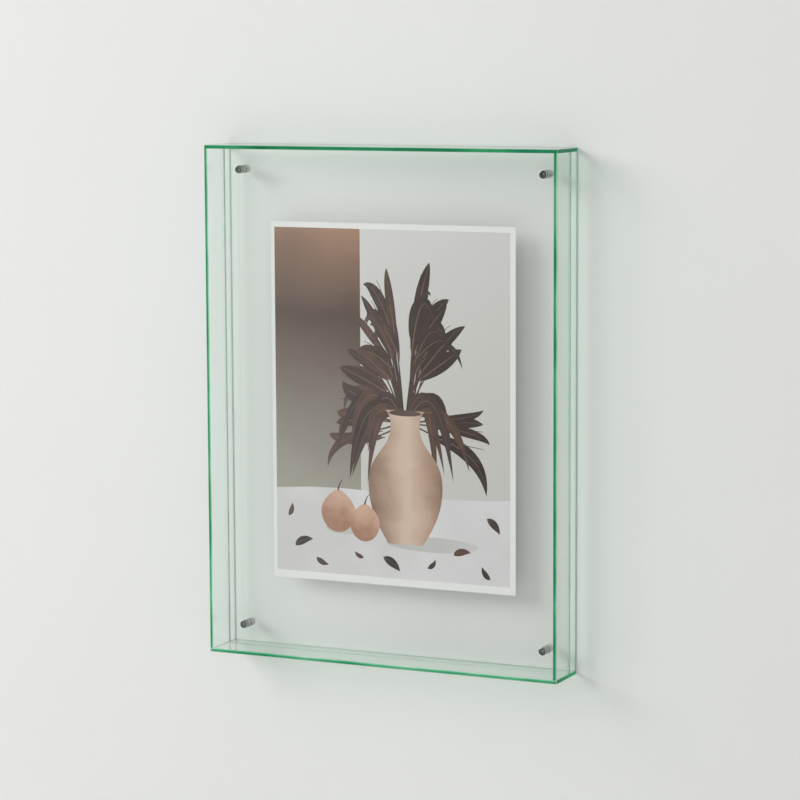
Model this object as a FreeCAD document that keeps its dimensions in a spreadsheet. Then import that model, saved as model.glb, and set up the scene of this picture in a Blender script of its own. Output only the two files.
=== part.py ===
"""Wall-mounted display frame: an open box of clear sheet whose back rim lies on the wall, with a print
held between two clear sheets by four round screw clamps.

Row frame, in millimetres: X to the right and Z up as seen from the front, and Y into the wall. The
origin is on the wall's surface, at the centre of the frame's back rim, so that rim is at Y 0 and the
open front at minus frame_depth. A depth below is a distance out from the wall.
"""
import FreeCAD, Part
import os
import re

import Sketcher

from FreeCAD import Vector

SIZES = {
    # box of clear sheet
    "frame_width": 300,
    "frame_height": 406,
    "frame_depth": 40,
    "wall_thickness": 3,
    "cement_film": 0.05,
    "edge_break": 0.3,
    # clear sheets that hold the print, with the studs' play in their holes
    "panel_thickness": 3,
    "front_sheet_thickness": 1,
    "front_sheet_clearance": 0.3,
    "front_sheet_edge_break": 0.15,
    "sheet_hole_play": 0.25,
    "air_film": 0.05,
    # print
    "print_width": 210,
    "print_height": 285,
    "print_thickness": 0.25,
    # clamps' studs, and how far in from the frame's outside they are
    "clamp_inset": 20,
    "stud_diameter": 4,
    "stud_break": 0.5,
    "thread_play": 0.05,
    "thread_end_gap": 0.2,
    # cap nuts: a blind bore with a drilled cone at its end, under a solid web
    "cap_height": 3.2,
    "cap_wall": 1.2,
    "cap_break": 0.5,
    "cap_web": 0.3,
    "cap_bore_cone": 0.4,
    # rear nuts, bored the same way, and their distance from the wall
    "rear_gap": 4.5,
    "rear_nut_height": 4.7,
    "rear_nut_wall": 1.2,
    "rear_nut_break": 0.3,
    "rear_nut_web": 0.8,
    "rear_nut_bore_cone": 0.4,
    # collars behind the caps, and washers on both sides of the sheets
    "collar_length": 2,
    "collar_wall": 1.05,
    "collar_break": 0.2,
    "collar_play": 0.15,
    "washer_thickness": 0.8,
    "washer_wall": 1.05,
    "washer_break": 0.15,
    "washer_play": 0.15,
}

# Sums of the sizes above, each named for the place or length that it gives
SUMS = {
    # the box
    "half_width": "frame_width / 2",
    "half_height": "frame_height / 2",
    "inside_width": "frame_width - 2 * wall_thickness",
    "inside_height": "frame_height - 2 * wall_thickness",
    "cemented_width": "inside_width - 2 * cement_film",
    "cemented_height": "inside_height - 2 * cement_film",
    "front_sheet_width": "inside_width - 2 * front_sheet_clearance",
    "front_sheet_height": "inside_height - 2 * front_sheet_clearance",
    # depths from the wall, through the stack that the clamps hold
    "rear_nut_front": "rear_gap + rear_nut_height",
    "panel_rear": "rear_nut_front + washer_thickness + air_film",
    "panel_face": "panel_rear + panel_thickness",
    "print_rear": "panel_face + air_film",
    "print_face": "print_rear + print_thickness",
    "front_sheet_rear": "print_face + air_film",
    "front_sheet_face": "front_sheet_rear + front_sheet_thickness",
    "cap_washer_rear": "front_sheet_face + air_film",
    "collar_rear": "cap_washer_rear + washer_thickness",
    "cap_rear": "collar_rear + collar_length",
    # the clamps' axes, from the frame's centre
    "clamp_x": "half_width - clamp_inset",
    "clamp_z": "half_height - clamp_inset",
    # radii, worked out from the stud that passes through them all
    "stud_radius": "stud_diameter / 2",
    "sheet_hole_radius": "stud_radius + sheet_hole_play",
    "cap_bore_radius": "stud_radius + thread_play",
    "cap_radius": "cap_bore_radius + cap_wall",
    "rear_nut_bore_radius": "stud_radius + thread_play",
    "rear_nut_radius": "rear_nut_bore_radius + rear_nut_wall",
    "collar_bore_radius": "stud_radius + collar_play",
    "collar_radius": "collar_bore_radius + collar_wall",
    "washer_bore_radius": "stud_radius + washer_play",
    "washer_radius": "washer_bore_radius + washer_wall",
    # the nuts' bores, and the stud's ends in them
    "cap_bore_depth": "cap_height - cap_web - cap_bore_cone",
    "rear_nut_bore_depth": "rear_nut_height - rear_nut_web - rear_nut_bore_cone",
    "stud_front": "cap_rear + cap_bore_depth - thread_end_gap",
    "stud_rear": "rear_nut_front - rear_nut_bore_depth + thread_end_gap",
}

# The four clamps, with the side of the centre that each is on, in X and in Z
CORNERS = {
    "top_left": (-1, 1),
    "top_right": (1, 1),
    "bottom_left": (-1, -1),
    "bottom_right": (1, -1),
}

FULL_TURN = 360

doc = FreeCAD.newDocument("display_frame")
sheet = doc.addObject("Spreadsheet::Sheet", "Sizes")
for row, (alias, value) in enumerate(SIZES.items(), start=1):
    sheet.set("A%d" % row, alias)
    sheet.set("B%d" % row, str(value))
    sheet.setAlias("B%d" % row, alias)
doc.recompute()

bodies = []


def linked(text):
    """The text of a sum, with each named sum written out and each size pointed at its cell."""

    def cell(found):
        word = found.group()
        if word in SUMS:
            return "(%s)" % linked(SUMS[word])
        return "Sizes." + word if word in SIZES else word

    return re.sub(r"[a-z_]+", cell, text)


def worked_out(text):
    """What a sum of named sizes comes to now."""
    return float(sheet.evalExpression(linked(text)))


def new_body(name, x="0", depth="0", z="0"):
    """An empty body whose own origin is at X x, Z z and the given depth out from the wall."""
    body = doc.addObject("PartDesign::Body", name)
    body.Label = name
    body.setExpression("Placement.Base.x", linked(x))
    body.setExpression("Placement.Base.y", linked("-(%s)" % depth))
    body.setExpression("Placement.Base.z", linked(z))
    bodies.append(body)
    return body


def new_sketch(body, name, role):
    """A sketch on one of the body's own origin planes."""
    sketch = body.newObject("Sketcher::SketchObject", name)
    planes = [item for item in body.Origin.OriginFeatures if item.Role == role]
    sketch.AttachmentSupport = (planes[0], [""])
    sketch.MapMode = "FlatFace"
    return sketch


def bind(sketch, kind, item, point, text):
    """A dimension of one point of the sketch, bound to a sum of named sizes."""
    number = sketch.addConstraint(Sketcher.Constraint(kind, item, point, worked_out(text)))
    sketch.setExpression("Constraints[%d]" % number, linked(text))


def outline(body, name, role, corners):
    """A sketch of one closed outline of straight lines, with every corner dimensioned."""
    sketch = new_sketch(body, name, role)
    points = [Vector(worked_out(x), worked_out(y), 0) for x, y in corners]
    for start, end in zip(points, points[1:] + points[:1]):
        sketch.addGeometry(Part.LineSegment(start, end))
    for line in range(len(points)):
        follower = (line + 1) % len(points)
        sketch.addConstraint(Sketcher.Constraint("Coincident", line, 2, follower, 1))
    for line, (x, y) in enumerate(corners):
        bind(sketch, "DistanceX", line, 1, x)
        bind(sketch, "DistanceY", line, 1, y)
    return sketch


def rectangle(half_x, half_y):
    """The corners of a rectangle centred on the sketch's origin."""
    return [
        ("-(%s)" % half_x, "-(%s)" % half_y),
        (half_x, "-(%s)" % half_y),
        (half_x, half_y),
        ("-(%s)" % half_x, half_y),
    ]


def plate(name, width, height, thickness, x="0", depth="0", z="0"):
    """A flat plate whose rear face is at the given depth, and which reaches further out from there."""
    body = new_body(name, x, depth, z)
    corners = rectangle("(%s) / 2" % width, "(%s) / 2" % height)
    pad = body.newObject("PartDesign::Pad", name + "_pad")
    pad.Profile = outline(body, name + "_outline", "XZ_Plane", corners)
    pad.setExpression("Length", linked(thickness))
    doc.recompute()
    return body


def clamp_holes(body):
    """The four round holes that the studs pass through."""
    sketch = new_sketch(body, body.Label + "_hole_centres", "XZ_Plane")
    for number, (side_x, side_z) in enumerate(CORNERS.values()):
        x = "%d * (clamp_x)" % side_x
        z = "%d * (clamp_z)" % side_z
        centre = Vector(worked_out(x), worked_out(z), 0)
        sketch.addGeometry(Part.Circle(centre, Vector(0, 0, 1), worked_out("sheet_hole_radius")))
        bind(sketch, "DistanceX", number, 3, x)
        bind(sketch, "DistanceY", number, 3, z)
        radius = Sketcher.Constraint("Radius", number, worked_out("sheet_hole_radius"))
        place = sketch.addConstraint(radius)
        sketch.setExpression("Constraints[%d]" % place, linked("sheet_hole_radius"))
    before = body.Shape.Volume
    pocket = body.newObject("PartDesign::Pocket", body.Label + "_holes")
    pocket.Profile = sketch
    pocket.Type = "ThroughAll"
    pocket.Reversed = True
    doc.recompute()
    if not body.Shape.Volume < before:
        raise RuntimeError(body.Label + ": the holes cut nothing")


def break_edges(body, size, wanted):
    """A chamfer of a named size on every edge of the body that wanted picks."""
    base = body.Tip
    names = []
    for number, edge in enumerate(base.Shape.Edges, start=1):
        if wanted(edge):
            names.append("Edge%d" % number)
    chamfer = body.newObject("PartDesign::Chamfer", body.Label + "_broken_edges")
    chamfer.Base = (base, names)
    chamfer.setExpression("Size", linked(size))
    doc.recompute()


def lies_at(edge, axis, place):
    """True if the whole edge is at this place along the body's own X (0), Y (1) or Z (2)."""
    return all(abs(end.Point[axis] - place) < FreeCAD.Base.Precision.confusion() for end in edge.Vertexes)


def level(edge):
    """True if the edge keeps one height."""
    return lies_at(edge, 2, edge.Vertexes[0].Z)


def turned(name, corners, x="0", depth="0", z="0"):
    """A round piece about Y, from an outline given as radius and place along Y."""
    body = new_body(name, x, depth, z)
    revolution = body.newObject("PartDesign::Revolution", name + "_turned")
    sketch = outline(body, name + "_profile", "XY_Plane", corners)
    revolution.Profile = sketch
    revolution.ReferenceAxis = (sketch, ["V_Axis"])
    revolution.Angle = FULL_TURN
    doc.recompute()
    return body


def box_walls():
    """The four plates of the box. The top and bottom ones run the full width and cover the side
    walls' ends. The edges that the cement joins stay square, and the others are broken."""
    for name, side in (("top_wall", 1), ("bottom_wall", -1)):
        centre = "%d * (half_height - wall_thickness / 2)" % side
        body = plate(name, "frame_width", "wall_thickness", "frame_depth", z=centre)
        inner_face = worked_out("%d * wall_thickness / 2" % -side)
        break_edges(body, "edge_break", lambda edge, place=inner_face: not lies_at(edge, 2, place))
    for name, side in (("left_wall", -1), ("right_wall", 1)):
        centre = "%d * (half_width - wall_thickness / 2)" % side
        body = plate(name, "wall_thickness", "cemented_height", "frame_depth", x=centre)
        outer_face = worked_out("%d * wall_thickness / 2" % side)
        break_edges(
            body, "edge_break", lambda edge, place=outer_face: lies_at(edge, 0, place) and not level(edge)
        )


def held_sheets():
    """The back panel, cemented between the walls, the thin loose front sheet and the print between."""
    panel = plate("back_panel", "cemented_width", "cemented_height", "panel_thickness", depth="panel_rear")
    clamp_holes(panel)
    front_sheet = plate(
        "front_sheet",
        "front_sheet_width",
        "front_sheet_height",
        "front_sheet_thickness",
        depth="front_sheet_rear",
    )
    clamp_holes(front_sheet)
    face = -worked_out("front_sheet_thickness")
    break_edges(
        front_sheet, "front_sheet_edge_break", lambda edge: lies_at(edge, 1, 0) or lies_at(edge, 1, face)
    )
    plate("print", "print_width", "print_height", "print_thickness", depth="print_rear")


def blind_nut(name, kind, side, x, depth, z):
    """A round nut of the sizes named for its kind, with a broken edge at its closed end and a blind bore.
    Its open end is at the given depth, and it reaches out from the wall (side -1) or towards it (1)."""
    height, radius, corner = kind + "_height", kind + "_radius", kind + "_break"
    bore, bore_depth, cone = kind + "_bore_radius", kind + "_bore_depth", kind + "_bore_cone"
    outline_points = [
        ("0", height),
        ("%s - %s" % (radius, corner), height),
        (radius, "%s - %s" % (height, corner)),
        (radius, "0"),
        (bore, "0"),
        (bore, bore_depth),
        ("0", "%s + %s" % (bore_depth, cone)),
    ]
    corners = [(away, "%d * (%s)" % (side, along)) for away, along in outline_points]
    turned(name, corners, x, depth, z)


def ring(name, kind, length, x, depth, z):
    """A ring or tube with broken outer edges, of the sizes named for its kind, whose rear end is at the
    given depth."""
    bore, radius, corner = kind + "_bore_radius", kind + "_radius", kind + "_break"
    corners = [
        (bore, "-" + length),
        ("%s - %s" % (radius, corner), "-" + length),
        (radius, "-(%s - %s)" % (length, corner)),
        (radius, "-" + corner),
        ("%s - %s" % (radius, corner), "0"),
        (bore, "0"),
    ]
    turned(name, corners, x, depth, z)


def stud(name, x, z):
    """A threaded stud, drawn at its thread's outside, from inside the rear nut to inside the cap nut."""
    corners = [
        ("0", "-(stud_front)"),
        ("stud_radius - stud_break", "-(stud_front)"),
        ("stud_radius", "-(stud_front - stud_break)"),
        ("stud_radius", "-(stud_rear + stud_break)"),
        ("stud_radius - stud_break", "-(stud_rear)"),
        ("0", "-(stud_rear)"),
    ]
    turned(name, corners, x, "0", z)


def screw_clamps():
    """Stud, rear nut, rear washer, cap washer, collar and cap nut, on one axis near each corner."""
    for corner, (side_x, side_z) in CORNERS.items():
        x = "%d * (clamp_x)" % side_x
        z = "%d * (clamp_z)" % side_z
        stud("stud_" + corner, x, z)
        blind_nut("rear_nut_" + corner, "rear_nut", 1, x, "rear_nut_front", z)
        ring("rear_washer_" + corner, "washer", "washer_thickness", x, "rear_nut_front", z)
        ring("cap_washer_" + corner, "washer", "washer_thickness", x, "cap_washer_rear", z)
        ring("collar_" + corner, "collar", "collar_length", x, "collar_rear", z)
        blind_nut("cap_nut_" + corner, "cap", -1, x, "cap_rear", z)


def write_steps():
    """Checks every object and every shape, then writes each body to a file under its own name."""
    doc.recompute()
    for item in doc.Objects:
        if "Invalid" in item.State or "Error" in item.State:
            raise RuntimeError("%s is %s" % (item.Label, item.State))
    for body in bodies:
        if body.Shape.isNull() or not body.Shape.isValid() or len(body.Shape.Solids) != 1:
            raise RuntimeError(body.Label + " has no sound solid")
    os.makedirs("parts", exist_ok=True)
    for body in bodies:
        body.Shape.exportStep("parts/%s.step" % body.Label)
        box = body.Shape.BoundBox
        low = (round(box.XMin, 2), round(box.YMin, 2), round(box.ZMin, 2))
        high = (round(box.XMax, 2), round(box.YMax, 2), round(box.ZMax, 2))
        print(body.Label, low, high, "volume", round(body.Shape.Volume, 2))


box_walls()
held_sheets()
screw_clamps()
write_steps()
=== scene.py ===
"""Looks of a wall-mounted display frame: an open box of green-edged clear acrylic, a print held between
two clear sheets, and the four round screw clamps that hold them together.

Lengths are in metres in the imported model's frame: X to the right and Z up as seen from the front, and Y
into the wall, whose surface is at Y 0. Sizes of small details are written in millimetres times MM.
"""
import math
import random

import bmesh
import bpy
import numpy
from mathutils import Matrix, Vector, geometry


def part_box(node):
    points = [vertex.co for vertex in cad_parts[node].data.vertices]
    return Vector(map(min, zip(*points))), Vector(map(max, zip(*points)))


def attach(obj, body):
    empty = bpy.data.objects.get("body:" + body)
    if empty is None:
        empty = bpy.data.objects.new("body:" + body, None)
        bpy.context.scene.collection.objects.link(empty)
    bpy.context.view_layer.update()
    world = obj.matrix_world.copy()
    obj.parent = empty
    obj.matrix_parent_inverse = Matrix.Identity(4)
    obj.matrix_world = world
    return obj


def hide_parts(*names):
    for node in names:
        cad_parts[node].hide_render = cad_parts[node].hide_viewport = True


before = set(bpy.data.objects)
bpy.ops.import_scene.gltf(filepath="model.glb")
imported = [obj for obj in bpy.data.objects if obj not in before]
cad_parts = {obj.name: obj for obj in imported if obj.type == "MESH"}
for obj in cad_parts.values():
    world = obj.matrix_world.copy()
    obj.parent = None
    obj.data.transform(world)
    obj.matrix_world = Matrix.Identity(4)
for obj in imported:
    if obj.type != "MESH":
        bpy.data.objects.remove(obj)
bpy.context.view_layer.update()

MM = 0.001
TURN = 2 * math.pi
CORNERS = ("top_left", "top_right", "bottom_left", "bottom_right")

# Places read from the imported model
wall_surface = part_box("left_wall")[1].y
print_low, print_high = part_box("print")


def clamp_axis(corner):
    """X and Z of one screw clamp."""
    low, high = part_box("cap_nut_" + corner)
    middle = (low + high) / 2
    return middle.x, middle.z


# Colour and nodes


def colour(hex_code, strength=1.0):
    """An sRGB hex colour as linear RGBA."""
    channels = [int(hex_code[place:place + 2], 16) / 255 for place in (0, 2, 4)]
    linear = [c / 12.92 if c <= 0.04045 else ((c + 0.055) / 1.055) ** 2.4 for c in channels]
    return (*(strength * c for c in linear), 1.0)


def per_metre(size):
    """The scale that gives a pattern this real size."""
    return 1 / size


def add(tree, kind, inputs=None, stops=None, **settings):
    """Adds a shader node. Each input gets a value, or a link if it is given a node or a socket; stops are
    a colour ramp's places and hex colours."""
    made = tree.nodes.new("ShaderNode" + kind)
    for name, value in settings.items():
        setattr(made, name, value)
    for name, value in (inputs or {}).items():
        if isinstance(value, bpy.types.Node):
            value = value.outputs[0]
        if isinstance(value, bpy.types.NodeSocket):
            tree.links.new(value, made.inputs[name])
        else:
            made.inputs[name].default_value = value
    if stops:
        band = made.color_ramp.elements
        while len(band) < len(stops):
            band.new(1.0)
        for element, (place, hex_code) in zip(band, stops):
            element.position = place
            element.color = colour(hex_code)
    return made


def new_material(name):
    """An empty node material and its tree."""
    material = bpy.data.materials.new(name)
    material.use_nodes = True
    material.node_tree.nodes.clear()
    return material, material.node_tree


def at(tree, stretch=(1, 1, 1)):
    """Places on the piece, in metres, stretched for patterns that run one way."""
    place = add(tree, "TexCoord").outputs["Object"]
    return add(tree, "Mapping", {"Vector": place, "Scale": stretch})


def output(tree, surface, volume=None):
    """The material's output."""
    made = add(tree, "OutputMaterial", {"Surface": surface})
    if volume is not None:
        tree.links.new(volume.outputs[0], made.inputs["Volume"])


# Materials: the clear sheet

ACRYLIC_IOR = 1.49
# Painted glow: emission on the cut edges, standing in for the light that the whole sheet gathers and lets
# out there: on the front and side edges, the ends of the top and bottom walls, and the rear rim
EDGE_PAINTED_GLOW = 0.16
END_PAINTED_GLOW = 0.3
REAR_PAINTED_GLOW = 0.03
# How much light a metre of each sheet takes out, and the tint of what it leaves: the walls are cut from
# green-tinted sheet, the back panel and front sheet from a nearly water-clear one
WALL_SHEET = (20.0, "6cf0c4")
HELD_SHEET = (4.0, "d0f0cc")


def absorbing(tree, density, tint):
    """The green that deepens with the way through the sheet."""
    return add(tree, "VolumeAbsorption", {"Color": colour(tint), "Density": density})


def passing_light(tree, tint="ffffff"):
    """What a lamp's light meets at one face of the sheet. A clean face lets it all through, because what
    the face turns back, the house wall and the other sheets return."""
    return add(tree, "BsdfTransparent", {"Color": colour(tint)})


def lit_through(tree, seen, light_side, share=1.0):
    """The seen shader, but for a share of the light on its way to what lies behind it."""
    path = add(tree, "LightPath")
    lamp_or_bounce = add(
        tree,
        "Math",
        {0: path.outputs["Is Shadow Ray"], 1: path.outputs["Is Diffuse Ray"]},
        operation="MAXIMUM",
    )
    if share < 1:
        lamp_or_bounce = add(tree, "Math", {0: lamp_or_bounce, 1: share}, operation="MULTIPLY")
    return add(tree, "MixShader", {0: lamp_or_bounce, 1: seen, 2: light_side})


def polished_acrylic(name, density, tint, light_left="ffffff"):
    """Cell-cast acrylic sheet, as it leaves the mould: clear, with a faint long wave in its thickness and
    wiping marks that only a glancing light shows. light_left tints the lamp's light at each face."""
    material, tree = new_material(name)
    wave = add(tree, "TexNoise", {"Vector": at(tree), "Scale": per_metre(60 * MM), "Detail": 1.0})
    wiped = add(tree, "TexNoise", {"Vector": at(tree, (1, 1, 6)), "Scale": per_metre(9 * MM), "Detail": 6.0})
    haze = add(tree, "MapRange", {0: wiped, 1: 0.45, 2: 0.75, 3: 0.0, 4: 0.012})
    uneven = add(tree, "Bump", {"Height": wave, "Strength": 0.15, "Distance": 0.05 * MM})
    glass = add(
        tree,
        "BsdfPrincipled",
        {
            "Base Color": colour("ffffff"),
            "Roughness": haze,
            "IOR": ACRYLIC_IOR,
            "Transmission Weight": 1.0,
            "Normal": uneven,
        },
    )
    output(tree, lit_through(tree, glass, passing_light(tree, light_left)), absorbing(tree, density, tint))
    return material


def saw_lines(tree, low, high):
    """Fine saw lines left on an edge: their roughness and their relief."""
    saw = add(tree, "TexNoise", {"Vector": at(tree), "Scale": per_metre(0.8 * MM), "Detail": 4.0})
    rough = add(tree, "MapRange", {0: saw, 1: 0.3, 2: 0.7, 3: low, 4: high})
    relief = add(tree, "Bump", {"Height": saw, "Strength": 0.2, "Distance": 0.02 * MM})
    return rough, relief


# Tones from deep to pale, the green of the edges with painted shade and painted glow run over them: the
# green of the wall plates' edges, the fuller green of the top and bottom walls' ends, a painted glow, as
# they face no lamp, the grey green of the rear rim, which lies on the house wall and gets little painted
# glow, and that of the edges of the back panel and the front sheet
EDGE_TONES = [(0.0, "0f5f3a"), (0.3, "2a8f5f"), (0.6, "66b68d"), (0.85, "abd8c0"), (1.0, "cfe6d9")]
END_TONES = [(0.0, "04603a"), (0.35, "129a63"), (1.0, "55c596")]
REAR_TONES = [(0.0, "7b9386"), (0.5, "a1b5aa"), (1.0, "c2d0c9")]
HELD_TONES = [(0.1, "49685b"), (0.35, "6f9a86"), (0.6, "74b894"), (0.85, "a9d6bd")]


def wall_edge(name, through, painted_shade_until, painted_light_from, dark, light, painted_glow_out=EDGE_PAINTED_GLOW, tones=EDGE_TONES):
    """The sawn and polished edge of the wall plates, bottle green: a painted glow stands in for the light
    gathered in the tinted sheet that comes out here, painted shade makes it deeper along one side of the
    edge, and it has soft bands along its length. Along the axis through, the tones run from painted shade to
    painted light between two shares of the plate's box."""
    material, tree = new_material(name)
    place = add(tree, "TexCoord").outputs["Generated"]
    share = add(tree, "SeparateXYZ", {0: place}).outputs[through]
    # Painted shade and light: one side of the edge painted darker, the other lighter
    side = add(tree, "MapRange", {0: share, 1: painted_shade_until, 2: painted_light_from, 3: dark, 4: light})
    patch = add(tree, "TexNoise", {"Vector": at(tree), "Scale": per_metre(45 * MM), "Detail": 4.0})
    bands = add(tree, "MapRange", {0: patch, 1: 0.3, 2: 0.7, 3: -0.14, 4: 0.2})
    depth = add(tree, "Math", {0: side, 1: bands}, operation="ADD", use_clamp=True)
    green = add(tree, "ValToRGB", {0: depth}, stops=tones)
    rough, relief = saw_lines(tree, 0.12, 0.3)
    # The emission is a painted glow, standing in for light that the sheet gathers and lets out at this edge
    painted_glow_edge = add(
        tree,
        "BsdfPrincipled",
        {
            "Base Color": green,
            "Roughness": rough,
            "IOR": ACRYLIC_IOR,
            "Transmission Weight": 0.06,
            "Specular IOR Level": 0.15,
            "Emission Color": green,
            "Emission Strength": painted_glow_out,
            "Normal": relief,
        },
    )
    output(tree, lit_through(tree, painted_glow_edge, passing_light(tree, "e6f4ec")), absorbing(tree, *WALL_SHEET))
    return material


def held_edge():
    """The polished edge of the back panel and the front sheet: a thin grey-green line, with painted shade
    that makes it darker on the left and greener on the right, painted light that makes both sides paler
    half-way up, and a faint painted glow."""
    material, tree = new_material("cast_acrylic_held_edge_painted_shade")
    streak = add(tree, "TexNoise", {"Vector": at(tree), "Scale": per_metre(25 * MM), "Detail": 3.0})
    place = add(tree, "TexCoord").outputs["Generated"]
    share = add(tree, "SeparateXYZ", {0: place})
    # Painted shade from left to right, and painted light half-way up
    painted_shade_left_to_right = add(tree, "MapRange", {0: share.outputs["X"], 1: 0.0, 2: 1.0, 3: -0.3, 4: 0.2})
    from_middle = add(tree, "Math", {0: share.outputs["Z"], 1: 0.5}, operation="SUBTRACT")
    from_middle = add(tree, "Math", {0: from_middle}, operation="ABSOLUTE")
    painted_light_half_way = add(tree, "MapRange", {0: from_middle, 1: 0.25, 2: 0.5, 3: 0.18, 4: -0.1})
    side = add(tree, "Math", {0: streak, 1: painted_shade_left_to_right}, operation="ADD")
    tone = add(tree, "Math", {0: side, 1: painted_light_half_way}, operation="ADD", use_clamp=True)
    depth = add(tree, "ValToRGB", {0: tone}, stops=HELD_TONES)
    rough, relief = saw_lines(tree, 0.08, 0.22)
    # The emission is a faint painted glow
    glass = add(
        tree,
        "BsdfPrincipled",
        {
            "Base Color": depth,
            "Roughness": rough,
            "IOR": ACRYLIC_IOR,
            "Transmission Weight": 0.2,
            "Emission Color": depth,
            "Emission Strength": 0.06,
            "Normal": relief,
        },
    )
    output(tree, lit_through(tree, glass, passing_light(tree, "e6f4ec")), absorbing(tree, *HELD_SHEET))
    return material


def scraped_corner():
    """A corner of the sheet broken with a scraper: a fine frosted line, whose pale tone is partly the
    frost's own whiteness and partly a painted highlight.
    """
    material, tree = new_material("cast_acrylic_scraped_corner")
    rough, relief = saw_lines(tree, 0.3, 0.5)
    nick = add(tree, "TexNoise", {"Vector": at(tree), "Scale": per_metre(7 * MM), "Detail": 3.0})
    # Pale tone: the frost's own whiteness, and a painted highlight along the corner
    tone = add(tree, "ValToRGB", {0: nick}, stops=[(0.35, "c3e2d2"), (0.65, "e2f3ea")])
    frosted = add(
        tree,
        "BsdfPrincipled",
        {
            "Base Color": tone,
            "Roughness": rough,
            "IOR": ACRYLIC_IOR,
            "Transmission Weight": 0.3,
            "Normal": relief,
        },
    )
    output(tree, lit_through(tree, frosted, passing_light(tree)), absorbing(tree, *WALL_SHEET))
    return material


def drilled_hole():
    """The wall of a drilled hole: frosted by the drill, whiter than the sheet."""
    material, tree = new_material("cast_acrylic_drilled")
    feed = add(tree, "TexNoise", {"Vector": at(tree, (1, 8, 1)), "Scale": per_metre(2 * MM), "Detail": 3.0})
    rough = add(tree, "MapRange", {0: feed, 1: 0.3, 2: 0.7, 3: 0.35, 4: 0.6})
    lines = add(tree, "Bump", {"Height": feed, "Strength": 0.3, "Distance": 0.03 * MM})
    glass = add(
        tree,
        "BsdfPrincipled",
        {
            "Base Color": colour("eef2ef"),
            "Roughness": rough,
            "IOR": ACRYLIC_IOR,
            "Transmission Weight": 0.7,
            "Normal": lines,
        },
    )
    output(tree, lit_through(tree, glass, passing_light(tree, "e4ece8")), absorbing(tree, *HELD_SHEET))
    return material


# Materials: the clamps


def turned_steel(name, hex_dark, hex_light, rough_low, rough_high, feed_size):
    """Steel off the lathe: fine rings of the tool's feed, which stretch the highlights across them."""
    material, tree = new_material(name)
    place = add(tree, "TexCoord").outputs["Object"]
    parts = add(tree, "SeparateXYZ", {0: place})
    flat = add(tree, "CombineXYZ", {"X": parts.outputs["X"], "Z": parts.outputs["Z"]})
    radius = add(tree, "VectorMath", {0: flat}, operation="LENGTH").outputs["Value"]
    along = add(tree, "Math", {0: radius, 1: parts.outputs["Y"]}, operation="SUBTRACT")
    path = add(tree, "CombineXYZ", {"X": along})
    rings = add(tree, "TexNoise", {"Vector": path, "Scale": per_metre(feed_size), "Detail": 3.0})
    stain = add(tree, "TexNoise", {"Vector": place, "Scale": per_metre(2.5 * MM), "Detail": 4.0})
    tone = add(tree, "ValToRGB", {0: stain}, stops=[(0.3, hex_dark), (0.7, hex_light)])
    rough = add(tree, "MapRange", {0: rings, 1: 0.3, 2: 0.7, 3: rough_low, 4: rough_high})
    lines = add(tree, "Bump", {"Height": rings, "Strength": 0.35, "Distance": 0.01 * MM})
    steel = add(
        tree,
        "BsdfPrincipled",
        {"Base Color": tone, "Metallic": 1.0, "Roughness": rough, "Normal": lines},
    )
    output(tree, steel)
    return material


def punched_nylon():
    """Natural nylon washer, punched from sheet: milky, dull, with a slight orange peel."""
    material, tree = new_material("natural_nylon_punched")
    peel = add(tree, "TexNoise", {"Vector": at(tree), "Scale": per_metre(0.5 * MM), "Detail": 4.0})
    tone = add(tree, "ValToRGB", {0: peel}, stops=[(0.3, "b9bab5"), (0.7, "cbccc7")])
    rough = add(tree, "MapRange", {0: peel, 1: 0.3, 2: 0.7, 3: 0.4, 4: 0.55})
    skin = add(tree, "Bump", {"Height": peel, "Strength": 0.3, "Distance": 0.02 * MM})
    nylon = add(
        tree, "BsdfPrincipled", {"Base Color": tone, "Roughness": rough, "IOR": 1.53, "Normal": skin}
    )
    output(tree, nylon)
    return material


# Materials: the print

# The share of the light that falls through the paper, so that its shadow on the wall isn't black
PAPER_LETS_THROUGH = 0.42


def printed(name, tones, direction, start, end, wander, patch=30 * MM):
    """Coated art paper with this ink on it. The tones run in a direction from start to end, with their
    borders wandering by a soft pattern, under a satin coating that shows a little fibre. The fibre is
    drawn coarser than it is, so that it shows."""
    material, tree = new_material("art_paper_" + name)
    place = add(tree, "TexCoord").outputs["Object"]
    way = add(tree, "VectorMath", {0: place, 1: direction}, operation="DOT_PRODUCT").outputs["Value"]
    share = add(tree, "MapRange", {0: way, 1: start, 2: end, 3: 0.0, 4: 1.0})
    cloud = add(tree, "TexNoise", {"Vector": place, "Scale": per_metre(patch), "Detail": 3.0})
    grain = add(tree, "TexNoise", {"Vector": place, "Scale": per_metre(0.9 * MM), "Detail": 2.0})
    shift = add(tree, "MapRange", {0: cloud, 1: 0.3, 2: 0.7, 3: -wander, 4: wander})
    dots = add(tree, "MapRange", {0: grain, 1: 0.3, 2: 0.7, 3: -0.02, 4: 0.02})
    loose = add(tree, "Math", {0: shift, 1: dots}, operation="ADD")
    moved = add(tree, "Math", {0: share, 1: loose}, operation="ADD", use_clamp=True)
    ink = add(tree, "ValToRGB", {0: moved}, stops=tones)
    gloss = add(tree, "MapRange", {0: grain, 1: 0.3, 2: 0.7, 3: 0.42, 4: 0.52})
    fibre = add(tree, "Bump", {"Height": grain, "Strength": 0.08, "Distance": 0.02 * MM})
    paper = add(
        tree, "BsdfPrincipled", {"Base Color": ink, "Roughness": gloss, "IOR": 1.5, "Normal": fibre}
    )
    output(tree, lit_through(tree, paper, passing_light(tree), PAPER_LETS_THROUGH))
    return material


# Meshes


def new_piece(name, points, faces, material, smooth=True):
    """A mesh object from points and faces, with one material."""
    mesh = bpy.data.meshes.new(name)
    mesh.from_pydata(points, [], faces)
    mesh.validate()
    mesh.polygons.foreach_set("use_smooth", [smooth] * len(mesh.polygons))
    mesh.materials.append(material)
    piece = bpy.data.objects.new(name, mesh)
    bpy.context.scene.collection.objects.link(piece)
    return piece


ON_AXIS = 1e-6 * MM


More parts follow.
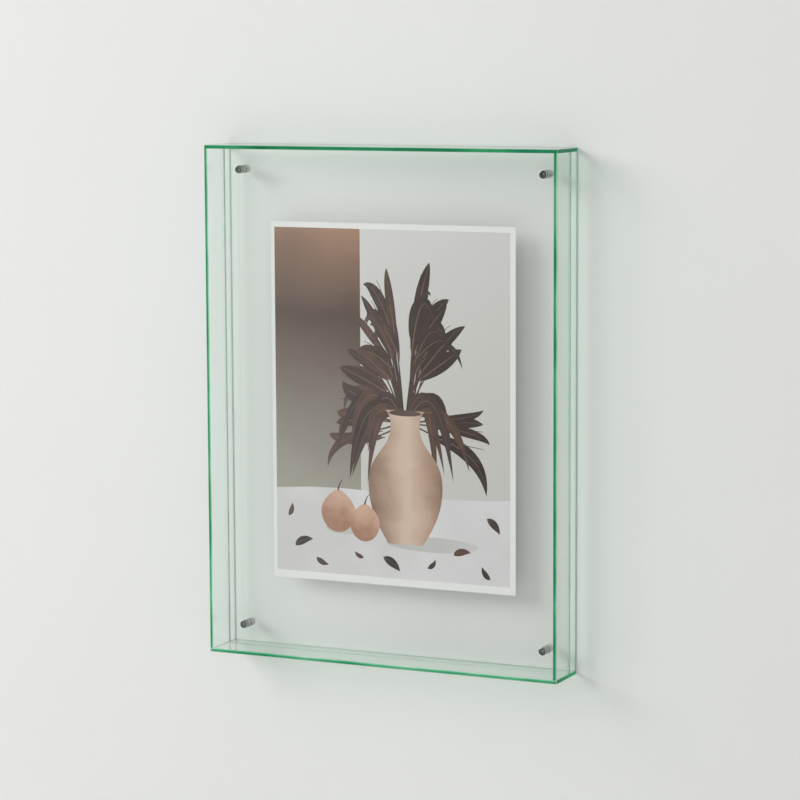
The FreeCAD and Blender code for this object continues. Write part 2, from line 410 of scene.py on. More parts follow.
def spun(profile, sides=64):
    """Points and faces of a profile of (radius, place along Y) spun about Y. A profile that starts and
    ends on the axis is closed by points there; any other is closed into a ring."""
    points, rings, faces = [], [], []
    for radius, along in profile:
        if radius < ON_AXIS:
            rings.append([len(points)] * sides)
            points.append((0, along, 0))
            continue
        rings.append(list(range(len(points), len(points) + sides)))
        for step in range(sides):
            angle = TURN * step / sides
            points.append((radius * math.cos(angle), along, radius * math.sin(angle)))
    pairs = list(zip(rings, rings[1:]))
    if profile[0][0] > 0:
        pairs.append((rings[-1], rings[0]))
    for before, after in pairs:
        for step in range(sides):
            ahead = (step + 1) % sides
            corners = (before[step], before[ahead], after[ahead], after[step])
            faces.append(tuple(dict.fromkeys(corners)))
    return points, faces


def threaded(front, rear, steps, radius_at, sides=40):
    """Points and faces of a rod about Y with a helical thread. radius_at gives the radius from a place
    along Y and a share of a turn."""
    points, rings, faces = [], [], []
    for step in range(steps + 1):
        along = front + (rear - front) * step / steps
        rings.append(list(range(len(points), len(points) + sides)))
        for side in range(sides):
            angle = TURN * side / sides
            radius = radius_at(along, side / sides)
            points.append((radius * math.cos(angle), along, radius * math.sin(angle)))
    for before, after in zip(rings, rings[1:]):
        for side in range(sides):
            ahead = (side + 1) % sides
            faces.append((before[side], before[ahead], after[ahead], after[side]))
    faces.append(tuple(rings[0]))
    faces.append(tuple(rings[-1]))
    return points, faces


def rounded(radius, along, size, start_angle, steps=5):
    """Quarter circle of profile points about (radius, along), from start_angle in quarter turns."""
    quarter = math.pi / 2
    points = []
    for step in range(steps + 1):
        angle = quarter * (start_angle + step / steps)
        points.append((radius + size * math.cos(angle), along + size * math.sin(angle)))
    return points


def place_turned(name, body, corner, points_and_faces, material, depth=0.0):
    """One turned piece, set on its clamp's axis at a place along Y."""
    points, faces = points_and_faces
    piece = new_piece(name + "_look", points, faces, material)
    shape = bmesh.new()
    shape.from_mesh(piece.data)
    bmesh.ops.recalc_face_normals(shape, faces=shape.faces)
    shape.to_mesh(piece.data)
    shape.free()
    x, z = clamp_axis(corner)
    piece.matrix_world = Matrix.Translation((x, depth, z))
    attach(piece, body)
    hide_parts(name)
    return piece


# The clamps' pieces

# A cap's finishes after its first, as its material slots
SHADE_RING, POLISHED_GLINT = 1, 2
CAP_EDGE = 0.34 * MM
CAP_RING_FROM_EDGE = 0.8 * MM
CAP_RING_HALF_WIDTH = 0.4 * MM
REAR_NUT_EDGE = 0.3 * MM
CENTRE_PIP = 0.3 * MM
PIP_DEPTH = 0.06 * MM
MOUTH_BREAK = 0.12 * MM
BORE_RADIUS = 2.05 * MM
BORE_CONE = 0.4 * MM
CAP_WEB = 0.3 * MM
REAR_NUT_WEB = 0.8 * MM
RING_WALL = 1.05 * MM
COLLAR_EDGE = 0.2 * MM
WASHER_EDGE = 0.15 * MM
STUD_EDGE = 0.4 * MM
THREAD_PITCH = 0.7 * MM
THREAD_DEPTH = 0.38 * MM
# The flat crest and the flat root, as shares of half a pitch
THREAD_CREST = 0.12
THREAD_ROOT = 0.2
STEPS_A_PITCH = 10
# A hair in front of each ring, so that its face and the cap's never share a plane
FACE_GAP = 0.02 * MM


def blind_nut(name, body, corner, side, edge, web, material):
    """A round nut: flat turned face with the lathe's centre pip, rounded edge and blind bore. Its closed
    end points to the front (side -1), where its face has the points for a ring, or to the wall (side 1)."""
    low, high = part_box(name)
    radius, height = (high.x - low.x) / 2, high.y - low.y
    bore_depth = height - web - BORE_CONE
    profile = [(0, height - PIP_DEPTH), (CENTRE_PIP, height)]
    if side < 0:
        middle = radius - CAP_RING_FROM_EDGE
        profile += [(middle - CAP_RING_HALF_WIDTH, height), (middle + CAP_RING_HALF_WIDTH, height)]
    profile += [(away, -along) for away, along in rounded(radius - edge, -(height - edge), edge, -1)]
    profile += [(radius, MOUTH_BREAK), (radius - MOUTH_BREAK, 0)]
    profile += [(BORE_RADIUS + MOUTH_BREAK, 0), (BORE_RADIUS, MOUTH_BREAK)]
    profile += [(BORE_RADIUS, bore_depth), (0, bore_depth + BORE_CONE)]
    profile = [(away, side * along) for away, along in profile]
    open_end = high.y if side < 0 else low.y
    return place_turned(name, body, corner, spun(profile), material, open_end)


def finish_cap(cap, shade_ring_steel, glint_edge_steel):
    """A cap's own finishes: a duller ring near the edge of its face, its steel painted darker as a painted
    shade, and a polished edge, its steel painted lighter as a painted glint.
    """
    cap.data.materials.append(shade_ring_steel)
    cap.data.materials.append(glint_edge_steel)
    radius = max(corner.co.x for corner in cap.data.vertices)
    front = min(corner.co.y for corner in cap.data.vertices)
    ring_from = radius - CAP_RING_FROM_EDGE - CAP_RING_HALF_WIDTH
    ring_to = radius - CAP_RING_FROM_EDGE + CAP_RING_HALF_WIDTH
    for face in cap.data.polygons:
        away = math.hypot(face.center.x, face.center.z)
        if face.center.y > front + CAP_EDGE:
            continue
        if ring_from < away < ring_to:
            face.material_index = SHADE_RING
        elif away > ring_to:
            face.material_index = POLISHED_GLINT


def ring(name, body, corner, edge, material):
    """A tube or washer with rounded outer edges."""
    low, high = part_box(name)
    outer, length = (high.x - low.x) / 2, high.y - low.y - FACE_GAP
    inner = outer - RING_WALL
    profile = [(inner, -length)]
    profile += rounded(outer - edge, -(length - edge), edge, -1)
    profile += rounded(outer - edge, -edge, edge, 0)
    profile.append((inner, 0))
    place_turned(name, body, corner, spun(profile), material, high.y)


def groove(along, share):
    """How deep the stud's thread is cut here: flat crest, straight flanks, flat root."""
    phase = (along / THREAD_PITCH - share) % 1
    from_crest = abs(phase - 0.5) * 2
    slope = (from_crest - THREAD_CREST) / (1 - THREAD_CREST - THREAD_ROOT)
    return THREAD_DEPTH * min(max(slope, 0), 1)


def stud(name, corner, material):
    """The stud: a machine thread from end to end, with both ends' edges broken."""
    low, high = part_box(name)
    radius, front, rear = (high.x - low.x) / 2, low.y, high.y

    def radius_at(along, share):
        lead_in = min(along - front, rear - along, STUD_EDGE)
        return min(radius - groove(along, share), radius - STUD_EDGE + lead_in)

    steps = round((rear - front) / THREAD_PITCH * STEPS_A_PITCH)
    place_turned(name, "wall_box", corner, threaded(front, rear, steps, radius_at), material)


# The print: a still life with a vase of dried leaves

BORDER_LEFT = 3.0 * MM
BORDER_RIGHT = 4.5 * MM
BORDER_TOP = 4.5 * MM
BORDER_BOTTOM = 6.0 * MM
# How far the outlines stay inside the picture, and how close two of their points may come
PICTURE_MARGIN = 0.3 * MM
SAME_POINT = 0.002 * MM
picture_left = print_low.x + BORDER_LEFT
picture_right = print_high.x - BORDER_RIGHT
picture_bottom = print_low.z + BORDER_BOTTOM
picture_top = print_high.z - BORDER_TOP
picture_width = picture_right - picture_left
picture_height = picture_top - picture_bottom


def across(share):
    """X at a share of the picture's width."""
    return picture_left + share * picture_width


def up(share):
    """Z at a share of the picture's height."""
    return picture_bottom + share * picture_height


def block(left, bottom, right, top):
    """A rectangle in shares of the picture."""
    corners = ((left, bottom), (right, bottom), (right, top), (left, top))
    return [(across(x), up(z)) for x, z in corners]


THINNEST_INK = 0.02 * MM
THINNEST_RIB = 0.05 * MM
RIB_SHARE = 0.09
STEM_WIDTH = 0.75 * MM
STALK_WIDTH = 0.7 * MM


def stroke(start, middle, end, width_at, steps=14):
    """The outline of a brush stroke along a curve through shares of the picture. width_at gives its half
    width, in metres, from the share of its length."""
    start, middle, end = (Vector((across(x), up(z))) for x, z in (start, middle, end))
    one_side, other_side = [], []
    for step in range(steps + 1):
        share = step / steps
        spot = start.lerp(middle, share).lerp(middle.lerp(end, share), share)
        way = (middle - start).lerp(end - middle, share).normalized()
        side = Vector((-way.y, way.x)) * max(width_at(share), THINNEST_INK)
        one_side.append(tuple(spot + side))
        other_side.append(tuple(spot - side))
    return one_side + other_side[::-1]


def leaf(start, middle, end, width):
    """A long dried leaf, widest before its middle."""
    return stroke(start, middle, end, lambda share: width * math.sin(math.pi * share ** 0.8) ** 0.9)


def midrib(start, middle, end, width):
    """The rib down a leaf."""
    return stroke(start, middle, end, lambda share: width * (1 - share) * RIB_SHARE + THINNEST_RIB, steps=8)


def stem(start, middle, end, width):
    """A thin stem that tapers to its tip."""
    return stroke(start, middle, end, lambda share: width * (1 - 0.75 * share))


def round_shape(centre, radius_x, radius_z, steps=36, squeeze=0.0):
    """A round outline, drawn in towards its top by squeeze."""
    middle_x, middle_z = across(centre[0]), up(centre[1])
    points = []
    for step in range(steps):
        angle = TURN * step / steps
        drawn_in = 1 - squeeze * max(math.sin(angle), 0) ** 2
        aside = radius_x * math.cos(angle) * drawn_in
        points.append((middle_x + aside, middle_z + radius_z * math.sin(angle)))
    return points


def vase_outline(centre, foot, height):
    """A jar with a full belly, a narrow neck and a flared lip. Each span of its side is a curve between two
    points, bent by the two between them: half widths in millimetres, heights as shares."""
    spans = (
        ((15, 0.0), (20, 0.08), (32, 0.22), (32, 0.44)),
        ((32, 0.44), (32, 0.68), (12.5, 0.7), (12.5, 0.88)),
        ((12.5, 0.88), (12.5, 0.94), (14, 0.98), (17, 1.0)),
    )
    side = []
    for span in spans:
        knots = [Vector((half * MM, share * height)) for half, share in span]
        side += geometry.interpolate_bezier(*knots, 12)[:-1]
    side.append(knots[-1])
    right = [(across(centre) + spot.x, up(foot) + spot.y) for spot in side]
    left = [(across(centre) - spot.x, up(foot) + spot.y) for spot in side]
    return right + left[::-1]


def fallen_leaf(x, z, heading, length, curl):
    """Start, middle and end of a leaf lying at (x, z), in shares of the picture; heading in turns."""
    along = Vector((math.cos(TURN * heading), math.sin(TURN * heading))) * length / 2
    aside = Vector((-along.y, along.x)) * curl
    ends = (-along, aside, along)
    return [(x + spot.x / picture_width, z + spot.y / picture_height) for spot in ends]


# The still life's layout, in shares of the picture
GROUNDS_MEET = 0.37
CLOTH_TOP = 0.235
CLOTH_WAVE = 0.012
CLOTH_RISE = 0.02
MOUTH_X, MOUTH_Z = 0.56, 0.47
VASE_FOOT = 0.1
VASE_HEIGHT = 106 * MM
VASE_MOUTH_UP = 104 * MM
MOUTH_RADIUS, MOUTH_DEPTH = 14 * MM, 2.4 * MM
BELLY_RADIUS = 33 * MM
UPRIGHT_LEAVES = 46
HANGING_LEAVES = 16
# Each fruit's middle, radius and how much its top is drawn in; a fruit's half height and where its stalk
# starts, in radii
FRUITS = (((0.27, 0.185), 15 * MM, 0.45), ((0.385, 0.155), 13 * MM, 0.35))
FRUIT_HALF_HEIGHT = 1.15
STALK_START = 1.12
# Each fallen leaf's place, heading in turns, length in millimetres and curl
FALLEN = (
    (0.12, 0.085, 0.06, 17, 0.5),
    (0.2, 0.035, 0.93, 12, -0.4),
    (0.36, 0.062, 0.42, 9, 0.5),
    (0.5, 0.04, 0.9, 18, 0.3),
    (0.67, 0.05, 0.13, 10, -0.6),
    (0.8, 0.085, 0.03, 15, 0.45),
    (0.9, 0.035, 0.35, 12, 0.4),
    (0.93, 0.17, 0.87, 16, 0.35),
    (0.06, 0.18, 0.2, 11, -0.4),
)
FALLEN_WIDTH_SHARE = 0.19


def grounds_and_cloth():
    """The two halves of the ground, the cloth with its soft top edge, and the shades on it."""
    cloth = [(across(0), up(0)), (across(1), up(0))]
    for share in (1, 0.9, 0.75, 0.6, 0.45, 0.3, 0.15, 0):
        wave = CLOTH_WAVE * math.sin(5 * share + 0.6)
        cloth.append((across(share), up(CLOTH_TOP + wave + CLOTH_RISE * share)))
    return [
        ("taupe_ground", block(0, 0, GROUNDS_MEET, 1)),
        ("grey_ground", block(GROUNDS_MEET, 0, 1, 1)),
        ("pale_cloth", cloth),
        ("cloth_shade", round_shape((0.67, 0.105), 40 * MM, 6 * MM)),
        ("cloth_shade", round_shape((0.3, 0.135), 17 * MM, 4.5 * MM)),
    ]


def leaf_with_rib(ink, start, middle, end, width):
    """A leaf and the rib down it."""
    return [(ink, leaf(start, middle, end, width)), ("leaf_rib", midrib(start, middle, end, width))]


def upright_leaf(number, draw):
    """A stem that rises from the vase, and the leaf at its tip."""
    side = -1 if number % 2 else 1
    lean = draw.uniform(0.05, 1)
    sag = draw.uniform(0, 0.16)
    tip = (MOUTH_X + side * (0.04 + 0.3 * lean ** 1.1), 0.93 - 0.5 * lean ** 1.6 - sag)
    rise = draw.uniform(0.65, 1.0)
    bend = (MOUTH_X + side * (0.02 + 0.12 * lean), MOUTH_Z + (tip[1] - MOUTH_Z) * rise)
    start = (MOUTH_X + side * draw.uniform(0, 0.03), MOUTH_Z - 0.02)
    width = draw.uniform(3.0, 6.5) * MM
    middle = (start[0] * 0.35 + bend[0] * 0.65, start[1] * 0.3 + bend[1] * 0.7)
    over = (tip[0] + side * draw.uniform(0.0, 0.06), tip[1] + draw.uniform(-0.16, 0.05))
    ink = ("dark_leaf", "brown_leaf", "dark_leaf", "umber_leaf")[number % 4]
    return [("dark_stem", stem(start, bend, tip, STEM_WIDTH))] + leaf_with_rib(ink, middle, tip, over, width)


def hanging_leaf(number, draw):
    """A leaf that hangs over the vase's lip."""
    side = -1 if number % 2 else 1
    start = (MOUTH_X + side * 0.02, MOUTH_Z - 0.005)
    reach = draw.uniform(0.1, 0.2)
    bend = (MOUTH_X + side * reach, MOUTH_Z + draw.uniform(0.06, 0.18))
    tip = (MOUTH_X + side * (reach + draw.uniform(0.02, 0.09)), MOUTH_Z - draw.uniform(0.08, 0.24))
    width = draw.uniform(3.5, 6.0) * MM
    ink = ("brown_leaf", "dark_leaf", "umber_leaf")[number % 3]
    return leaf_with_rib(ink, start, bend, tip, width)


def picture_layers():
    """Every outline of the picture with the ink it is printed in, from the ground up."""
    layers = grounds_and_cloth()
    draw = random.Random(7)
    for number in range(UPRIGHT_LEAVES):
        layers += upright_leaf(number, draw)
    for number in range(HANGING_LEAVES):
        layers += hanging_leaf(number, draw)
    mouth = (MOUTH_X, VASE_FOOT + VASE_MOUTH_UP / picture_height)
    layers.append(("clay_vase", vase_outline(MOUTH_X, VASE_FOOT, VASE_HEIGHT)))
    layers.append(("vase_mouth", round_shape(mouth, MOUTH_RADIUS, MOUTH_DEPTH)))
    for centre, radius, squeeze in FRUITS:
        half_height = radius * FRUIT_HALF_HEIGHT
        layers.append(("fruit", round_shape(centre, radius, half_height, squeeze=squeeze)))
        x, z = centre[0], centre[1] + radius * STALK_START / picture_height
        stalk = stem((x, z), (x + 0.005, z + 0.02), (x + 0.02, z + 0.03), STALK_WIDTH)
        layers.append(("dark_stem", stalk))
    for number, (x, z, heading, length, curl) in enumerate(FALLEN):
        start, middle, end = fallen_leaf(x, z, heading, length * MM, curl)
        ink = ("dark_leaf", "umber_leaf", "brown_leaf")[number % 3]
        layers += leaf_with_rib(ink, start, middle, end, FALLEN_WIDTH_SHARE * length * MM)
    return layers


def inside_picture(points):
    """The outline with what lies past the picture's edge pulled back to just inside it."""
    left, right = picture_left + PICTURE_MARGIN, picture_right - PICTURE_MARGIN
    bottom, top = picture_bottom + PICTURE_MARGIN, picture_top - PICTURE_MARGIN
    return [(min(max(x, left), right), min(max(z, bottom), top)) for x, z in points]


def covered(outline, spots):
    """Which of the spots lie inside an outline: those that it winds round."""
    winding = numpy.zeros(len(spots), dtype=int)
    x, z = spots[:, 0], spots[:, 1]
    for (x_start, z_start), (x_end, z_end) in zip(outline, outline[1:] + outline[:1]):
        if z_start == z_end:
            continue
        left_of = x < x_start + (z - z_start) * (x_end - x_start) / (z_end - z_start)
        winding += left_of & (z_start <= z) & (z < z_end)
        winding -= left_of & (z_end <= z) & (z < z_start)
    return winding != 0


GROUND_INKS = ("taupe_ground", "grey_ground", "pale_cloth")


def front_outlines(edge):
    """Every outline on the print's front with its ink, from the bare border up."""
    layers = [("white_border", edge)]
    for ink, outline in picture_layers():
        layers.append((ink, outline if ink in GROUND_INKS else inside_picture(outline)))
    return layers


def cut_along(layers, names):
    """The print's front, divided along every outline: its points, its faces, and the number of each face's
    ink, which is that of the last outline round it."""
    flat, borders = [], []
    for ink, outline in layers:
        first = len(flat)
        flat += [Vector(point) for point in outline]
        for step in range(len(outline)):
            borders.append((first + step, first + (step + 1) % len(outline)))
    spots, _, cells, _, _, _ = geometry.delaunay_2d_cdt(flat, borders, [], 0, SAME_POINT, False)
    middles = numpy.array([sum((spots[n] for n in cell), Vector((0, 0))) / len(cell) for cell in cells])
    chosen = numpy.zeros(len(cells), dtype=int)
    for ink, outline in layers:
        chosen[covered(outline, middles)] = names.index(ink)
    return spots, [tuple(cell) for cell in cells], chosen.tolist()


def print_sheet(inks):
    """The print: one closed sheet whose front is divided along the outlines of the picture."""
    low, high = print_low, print_high
    edge = [(low.x, low.z), (high.x, low.z), (high.x, high.z), (low.x, high.z)]
    names = list(inks)
    spots, faces, chosen = cut_along(front_outlines(edge), names)
    corners = []
    for corner in edge:
        corners.append(min(range(len(spots)), key=lambda n: (spots[n] - Vector(corner)).length))
    points = [(spot.x, low.y, spot.y) for spot in spots]
    rear = list(range(len(points), len(points) + 4))
    points += [(x, high.y, z) for x, z in edge]
    faces.append(tuple(reversed(rear)))
    for side in range(4):
        ahead = (side + 1) % 4
        faces.append((corners[side], rear[side], rear[ahead], corners[ahead]))
    chosen += [names.index("white_border")] * (len(faces) - len(chosen))
    piece = new_piece("print_look", points, faces, inks["white_border"], smooth=False)
    piece.data.materials.clear()
    for material in inks.values():
        piece.data.materials.append(material)
    piece.data.polygons.foreach_set("material_index", chosen)
    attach(piece, "print")
    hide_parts("print")


RIGHTWARD, UPWARD = (1, 0, 0), (0, 0, 1)


def picture_inks():
    """The print's inks, each on the same coated paper: the name of the ink, its tones, their direction,
    where they start and end, how much they wander and how large a patch of them is."""
    left, right, low, high = across(0), across(1), picture_bottom, picture_top
    vase_x = across(MOUTH_X)
    vase_left, vase_right = vase_x - BELLY_RADIUS, vase_x + BELLY_RADIUS
    lip_left, lip_right = vase_x - MOUTH_RADIUS, vase_x + MOUTH_RADIUS
    taupe = [(0.0, "b4afa3"), (0.27, "a09a8c"), (0.42, "8a8378"), (0.56, "72635a")]
    taupe += [(0.73, "523f34"), (0.9, "866753"), (1.0, "ac8569")]
    grey = [(0.0, "cfcdc8"), (0.5, "d4d2cd"), (0.75, "d8d7d2"), (1.0, "dddcd8")]
    cloth = [(0.0, "d6d5d3"), (0.3, "e2e1e0"), (0.55, "dddcdb"), (0.8, "e5e4e3"), (1.0, "d8d7d5")]
    clay = [(0.0, "8d705d"), (0.2, "b79983"), (0.4, "d9bfaa")]
    clay += [(0.5, "dcc3af"), (0.75, "bd9d86"), (1.0, "876a58")]
    bare = [(0.0, "eeefeb"), (1.0, "f4f4f0")]
    shade = [(0.0, "bdbab6"), (1.0, "d2d0cd")]
    stems = [(0.0, "3a2a22"), (1.0, "4d382c")]
    dark = [(0.0, "2a201c"), (0.5, "3a2b25"), (1.0, "33251f")]
    brown = [(0.0, "4b362b"), (0.5, "5d4335"), (1.0, "48342a")]
    umber = [(0.0, "3d2d26"), (0.5, "4a372e"), (1.0, "352822")]
    ribs = [(0.0, "6a5244"), (1.0, "7c6453")]
    inside = [(0.0, "4a3a30"), (1.0, "6a5446")]
    peel = [(0.0, "a97c63"), (0.5, "d6b097"), (1.0, "c08f73")]
    return {
        "white_border": printed("bare", bare, RIGHTWARD, print_low.x, print_high.x, 0.3),
        "taupe_ground": printed("taupe_ground", taupe, (0.12, 0, 1), low, high, 0.035, 70 * MM),
        "grey_ground": printed("grey_ground", grey, (-0.15, 0, 1), low, high, 0.06, 70 * MM),
        "pale_cloth": printed("pale_cloth", cloth, (0.8, 0, 0.5), left, right, 0.16, 45 * MM),
        "cloth_shade": printed("cloth_shade", shade, RIGHTWARD, left, right, 0.2),
        "dark_stem": printed("dark_stem", stems, UPWARD, low, high, 0.3, 8 * MM),
        "dark_leaf": printed("dark_leaf", dark, UPWARD, low, high, 0.4, 9 * MM),
        "brown_leaf": printed("brown_leaf", brown, UPWARD, low, high, 0.4, 9 * MM),
        "umber_leaf": printed("umber_leaf", umber, UPWARD, low, high, 0.4, 7 * MM),
        "leaf_rib": printed("leaf_rib", ribs, UPWARD, low, high, 0.3, 12 * MM),
        "clay_vase": printed("clay_vase", clay, (1, 0, 0.05), vase_left, vase_right, 0.07, 22 * MM),
        "vase_mouth": printed("vase_mouth", inside, RIGHTWARD, lip_left, lip_right, 0.1),
        "fruit": printed("fruit", peel, (0.4, 0, 1), up(0.08), up(0.25), 0.15, 12 * MM),
    }


# The clear plates keep their solids, with their own finish on each kind of face

# A plate's finishes, as its material slots
CLEAR, EDGE, DRILLED, SCRAPED, END, REAR = range(6)
HOLE_REACH = 3 * MM
# How nearly a face's arrow lies along an axis, for a flat face and for any that isn't a broken corner
SQUARE = 0.99
NEARLY_SQUARE = 0.95


def dress_plate(node, flat_axis, finishes):
    """Polished faces, cut edges and ends, drilled holes and scraped corners of one plate, whose finishes
    come in the order of its slots."""
    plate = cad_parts[node]
    plate.data.materials.clear()
    for material in finishes:
        plate.data.materials.append(material)
    axes = [clamp_axis(corner) for corner in CORNERS]
    for face in plate.data.polygons:
        spot = face.center
        if abs(face.normal[flat_axis]) > SQUARE:
            face.material_index = CLEAR
        elif any(math.hypot(spot.x - x, spot.z - z) < HOLE_REACH for x, z in axes):
            face.material_index = DRILLED
        elif max(abs(part) for part in face.normal) < NEARLY_SQUARE:
            face.material_index = SCRAPED
        elif abs(face.normal.x) > SQUARE:
            face.material_index = END
        elif face.normal.y > SQUARE:
            face.material_index = REAR
        else:
            face.material_index = EDGE


# The room

WALL_SIZE = 7.0
WALL_MIDDLE_UP = 0.4
WALL_GAP = 0.2 * MM
FLOOR_SIZE = 9.0
FLOOR_BELOW = 1.3


def backdrop_plane(name, size, place, turn, material):
    """A flat piece of the room."""
    half = size / 2
    corners = [(-half, -half, 0), (half, -half, 0), (half, half, 0), (-half, half, 0)]
    plane = new_piece(name, corners, [(0, 1, 2, 3)], material, smooth=False)
    plane.matrix_world = Matrix.Translation(place) @ turn


def wall_paint():
    """Matt emulsion on plaster: warm white with the roller's faint stipple. It is bare from behind."""
    material, tree = new_material("wall_emulsion_rolled")
    stipple = add(tree, "TexNoise", {"Vector": at(tree), "Scale": per_metre(3 * MM), "Detail": 3.0})
    cloud = add(tree, "TexNoise", {"Vector": at(tree), "Scale": per_metre(400 * MM), "Detail": 2.0})
    tone = add(tree, "ValToRGB", {0: cloud}, stops=[(0.3, "f0f0ed"), (0.7, "f3f3f0")])
    relief = add(tree, "Bump", {"Height": stipple, "Strength": 0.05, "Distance": 0.1 * MM})
    paint = add(tree, "BsdfPrincipled", {"Base Color": tone, "Roughness": 0.9, "Normal": relief})
    side = add(tree, "NewGeometry").outputs["Backfacing"]
    nothing = add(tree, "BsdfTransparent")
    output(tree, add(tree, "MixShader", {0: side, 1: paint, 2: nothing}))
    return material


PALE = "e2e3e1"


def seen_rays(tree):
    """1 for rays that show a thing to the camera, straight, mirrored or through the sheets."""
    path = add(tree, "LightPath").outputs
    direct = {0: path["Is Camera Ray"], 1: path["Is Transmission Ray"]}
    either = add(tree, "Math", direct, operation="MAXIMUM")
    return add(tree, "Math", {0: either, 1: path["Is Glossy Ray"]}, operation="MAXIMUM")


def floor_paint():
    """Pale studio floor, which shows at its own colour."""
    material, tree = new_material("studio_floor")
    speck = add(tree, "TexNoise", {"Vector": at(tree), "Scale": per_metre(300 * MM), "Detail": 2.0})
    tone = add(tree, "ValToRGB", {0: speck}, stops=[(0.3, "e0e1df"), (0.7, "e4e5e3")])
    paint = add(tree, "BsdfPrincipled", {"Base Color": tone, "Roughness": 0.8})
    pale = add(tree, "Emission", {"Color": tone, "Strength": 1.0})
    output(tree, add(tree, "MixShader", {0: seen_rays(tree), 1: paint, 2: pale}))
    return material


FILL_LIGHT = 0.56
# The studio's dark flag: along one axis of the arrow towards the room, where each of its soft sides starts
# and where it is fully dark
FLAG_LEFT = (-0.475, -0.405)
FLAG_RIGHT = (0.3, 0.05)
FLAG_FRONT = (-0.3, -0.6)
FLAG_DARKNESS = 0.8
# The count of mirrorings on a ray's way, half-way before the first and before the second
FIRST_MIRROR = 0.5
SECOND_MIRROR = 1.5


def surroundings():
    """An even, dim fill for the light, and a pale room for what is seen. Mirrored in the clamps and the
    sheets, but not seen through them, the room has an upright dark flag left of the camera, as studios set
    one for metal."""
    world = bpy.data.worlds.new("studio_room")
    bpy.context.scene.world = world
    world.use_nodes = True
    tree = world.node_tree
    tree.nodes.clear()
    way = add(tree, "SeparateXYZ", {0: add(tree, "TexCoord").outputs["Generated"]})
    path = add(tree, "LightPath")
    depth = path.outputs["Glossy Depth"]
    mirrored = add(tree, "Math", {0: depth, 1: FIRST_MIRROR}, operation="GREATER_THAN")
    flag = add(tree, "Math", {0: path.outputs["Is Glossy Ray"], 1: mirrored}, operation="MULTIPLY")
    for axis, (open_at, dark_at) in (("X", FLAG_LEFT), ("X", FLAG_RIGHT), ("Y", FLAG_FRONT)):
        side = add(tree, "MapRange", {0: way.outputs[axis], 1: open_at, 2: dark_at, 3: 0.0, 4: 1.0})
        flag = add(tree, "Math", {0: flag, 1: side}, operation="MULTIPLY")
    open_share = add(tree, "Math", {0: flag, 1: -FLAG_DARKNESS, 2: 1.0}, operation="MULTIPLY_ADD")
    fill = add(tree, "Background", {"Color": colour("fcfdfe"), "Strength": FILL_LIGHT})
    room = add(tree, "Background", {"Color": colour(PALE), "Strength": open_share})
    add(tree, "OutputWorld", {"Surface": add(tree, "MixShader", {0: seen_rays(tree), 1: fill, 2: room})})


LAMP_WAY = Vector((-0.765, -0.46, 0.45)).normalized()
LAMP_DISTANCE = 3.8
LAMP_SIZE = 2.2
LAMP_WATTS = 88


def soft_lamp():
    """One broad soft lamp, up and to the left. It shows mirrored once, as in steel, but not mirrored twice,
    as from one sheet to the next, where it would burn out."""
    data = bpy.data.lights.new("soft_box", "AREA")
    data.shape = "DISK"
    data.size = LAMP_SIZE
    data.energy = LAMP_WATTS
    data.color = colour("fdfeff")[:3]
    data.use_nodes = True
    tree = data.node_tree
    tree.nodes.clear()
    mirrored = add(tree, "LightPath").outputs["Glossy Depth"]
    shown = add(tree, "Math", {0: mirrored, 1: SECOND_MIRROR}, operation="LESS_THAN")
    add(tree, "OutputLight", {"Surface": add(tree, "Emission", {"Strength": shown})})
    lamp = bpy.data.objects.new("soft_box", data)
    bpy.context.scene.collection.objects.link(lamp)
    facing = LAMP_WAY.to_track_quat("Z", "Y").to_matrix().to_4x4()
    lamp.matrix_world = Matrix.Translation(LAMP_WAY * LAMP_DISTANCE) @ facing
    lamp.visible_camera = False


CAMERA_PLACE = (0.97567, -2.07277, 0.28900)
CAMERA_YAW, CAMERA_PITCH, CAMERA_ROLL = 25.192, 7.109, -0.272
CAMERA_LENS = 132.215
SENSOR_WIDTH = 36


def camera():
    """The photograph's viewpoint."""
    data = bpy.data.cameras.new("camera")
    data.lens = CAMERA_LENS
    data.sensor_width = SENSOR_WIDTH
    made = bpy.data.objects.new("camera", data)
    bpy.context.scene.collection.objects.link(made)
    turn = (
        Matrix.Rotation(math.radians(CAMERA_YAW), 4, "Z")
        @ Matrix.Rotation(math.radians(90 - CAMERA_PITCH), 4, "X")
        @ Matrix.Rotation(math.radians(CAMERA_ROLL), 4, "Z")
    )
    made.matrix_world = Matrix.Translation(CAMERA_PLACE) @ turn
    bpy.context.scene.camera = made


camera()
soft_lamp()
surroundings()
bpy.context.scene.view_settings.view_transform = "Standard"
upright = Matrix.Rotation(math.radians(90), 4, "X")
wall_place = (0, wall_surface + WALL_GAP, WALL_MIDDLE_UP)
backdrop_plane("house_wall", WALL_SIZE, wall_place, upright, wall_paint())
backdrop_plane("floor", FLOOR_SIZE, (0, 0, -FLOOR_BELOW), Matrix.Identity(4), floor_paint())

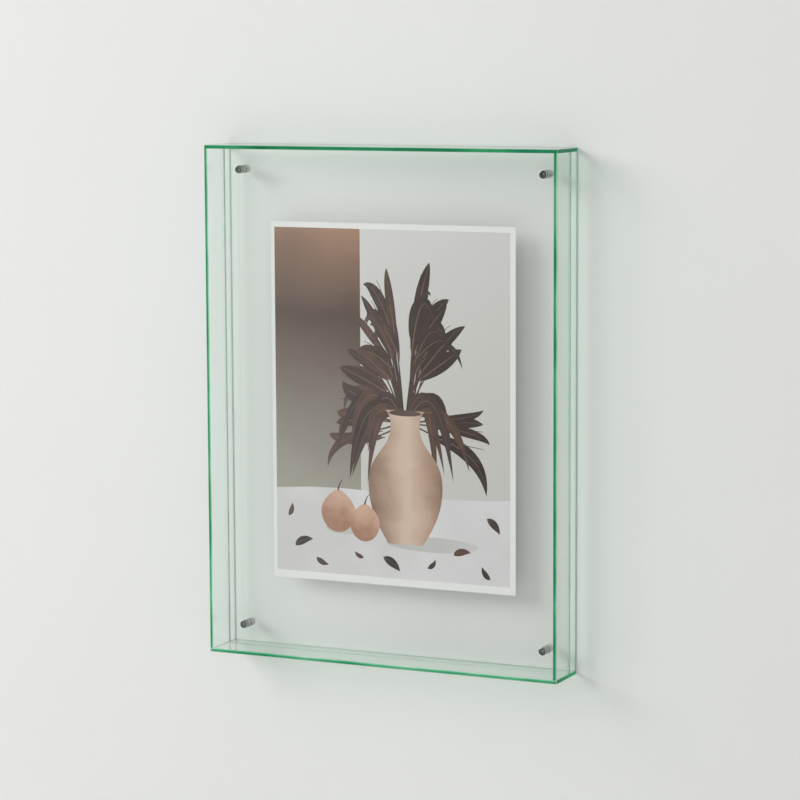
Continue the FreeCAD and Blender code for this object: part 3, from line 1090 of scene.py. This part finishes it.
wall_clear = polished_acrylic("cast_acrylic_green_tint", *WALL_SHEET, light_left="f9fcfa")
held_clear = polished_acrylic("cast_acrylic_water_clear", *HELD_SHEET)
drilled = drilled_hole()
scraped = scraped_corner()
# Edge tones by plate are painted shade and glow: the top wall's edge painted darker, the bottom wall's
# lighter
side_edge = wall_edge("cast_acrylic_edge_upright_painted_glow_and_shade", "X", 0.5, 0.8, dark=0.24, light=0.76)
top_edge = wall_edge("cast_acrylic_edge_top_painted_glow_and_shade", "Z", 0.7, 1.0, dark=0.18, light=0.42)
bottom_edge = wall_edge("cast_acrylic_edge_bottom_painted_glow_and_shade", "Z", 0.5, 0.9, dark=0.34, light=0.74)
plate_end = wall_edge(
    "cast_acrylic_edge_end_painted_glow_and_shade", "Y", 0.0, 1.0, dark=0.06, light=0.3, painted_glow_out=END_PAINTED_GLOW, tones=END_TONES
)
rear_rim = wall_edge(
    "cast_acrylic_edge_rear_painted_glow_and_shade", "Z", 0.0, 1.0, dark=0.3, light=0.6, painted_glow_out=REAR_PAINTED_GLOW, tones=REAR_TONES
)
held = held_edge()
for node, flat_axis, clear, edge, end in (
    ("top_wall", 2, wall_clear, top_edge, plate_end),
    ("bottom_wall", 2, wall_clear, bottom_edge, plate_end),
    ("left_wall", 0, wall_clear, side_edge, side_edge),
    ("right_wall", 0, wall_clear, side_edge, side_edge),
    ("back_panel", 1, held_clear, held, held),
    ("front_sheet", 1, held_clear, held, held),
):
    dress_plate(node, flat_axis, (clear, edge, drilled, scraped, end, rear_rim))

# Cap steels: the face painted darker than the barrel's as painted shade, its ring darker still, its edge
# lighter as a painted glint
shaded_cap_steel = turned_steel("stainless_steel_face_painted_shade", "7c7e7c", "929492", 0.18, 0.28, 0.12 * MM)
shade_ring_steel = turned_steel("stainless_steel_ring_painted_shade", "4c4e4c", "5f615f", 0.24, 0.34, 0.1 * MM)
glint_edge_steel = turned_steel("stainless_steel_polished_painted_glint", "d0d1cf", "dededc", 0.1, 0.18, 0.3 * MM)
barrel_steel = turned_steel("stainless_steel_turned", "c2c3c1", "d6d7d5", 0.25, 0.38, 0.15 * MM)
stud_steel = turned_steel("zinc_plated_steel", "a9aaa8", "c4c5c2", 0.28, 0.42, 0.2 * MM)
nylon = punched_nylon()
for corner in CORNERS:
    cap, washer = "cap_nut_" + corner, "cap_washer_" + corner
    nut = blind_nut(cap, cap, corner, -1, CAP_EDGE, CAP_WEB, shaded_cap_steel)
    finish_cap(nut, shade_ring_steel, glint_edge_steel)
    ring("collar_" + corner, washer, corner, COLLAR_EDGE, barrel_steel)
    ring(washer, washer, corner, WASHER_EDGE, nylon)
    ring("rear_washer_" + corner, "wall_box", corner, WASHER_EDGE, nylon)
    rear = "rear_nut_" + corner
    blind_nut(rear, "wall_box", corner, 1, REAR_NUT_EDGE, REAR_NUT_WEB, barrel_steel)
    stud("stud_" + corner, corner, stud_steel)

print_sheet(picture_inks())
